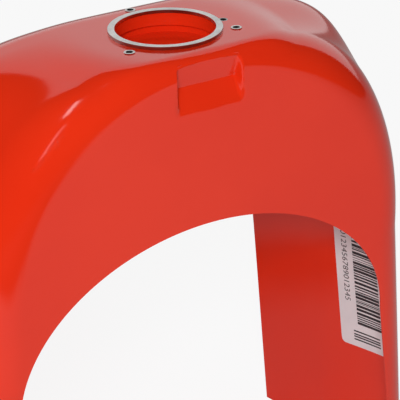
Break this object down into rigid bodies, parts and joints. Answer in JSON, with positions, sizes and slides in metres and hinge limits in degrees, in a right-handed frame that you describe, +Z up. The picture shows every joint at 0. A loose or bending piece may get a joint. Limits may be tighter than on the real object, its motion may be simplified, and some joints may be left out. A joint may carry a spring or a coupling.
{
  "type": "motorcycle fuel tank",
  "caption": "Welded steel motorcycle fuel tank with hanging side skirts, arched front, filler neck, latch recess and rear bracket.",
  "frame": {"origin": "middle of the footprint, on the surface that the skirts and the tail stand on", "axes": "+Y from the front face to the tail, +X to the rider's left, +Z up"},
  "size_m": [0.33, 0.502, 0.3514],
  "materials": {
    "red_paint": "gloss orange-red paint with clear coat",
    "bare_steel": "turned bare steel",
    "plain_steel": "as drawn",
    "zinc": "zinc plated",
    "black_rubber": "moulded",
    "label_paper": "coated paper"
  },
  "bodies": {
    "root": {"outer_skin": "red_paint", "latch_pocket": "red_paint", "bottom_pan": "red_paint", "baffle_front": "plain_steel", "baffle_rear": "plain_steel", "side_nuts": "zinc", "part_label": "label_paper", "filler_ring": "bare_steel", "filler_neck": "red_paint", "filler_seat": "red_paint", "cap_screw_bushes": "bare_steel", "splash_cup": "red_paint", "water_drain_tube": "plain_steel", "breather_tube": "plain_steel", "tap_flange": "zinc", "tap_studs": "zinc", "sender_flange": "zinc", "sender_studs": "zinc", "front_cups": "red_paint", "front_pads": "black_rubber", "rear_bracket": "red_paint", "rear_grommets": "black_rubber", "rear_sleeves": "zinc"}
  },
  "joints": []
}
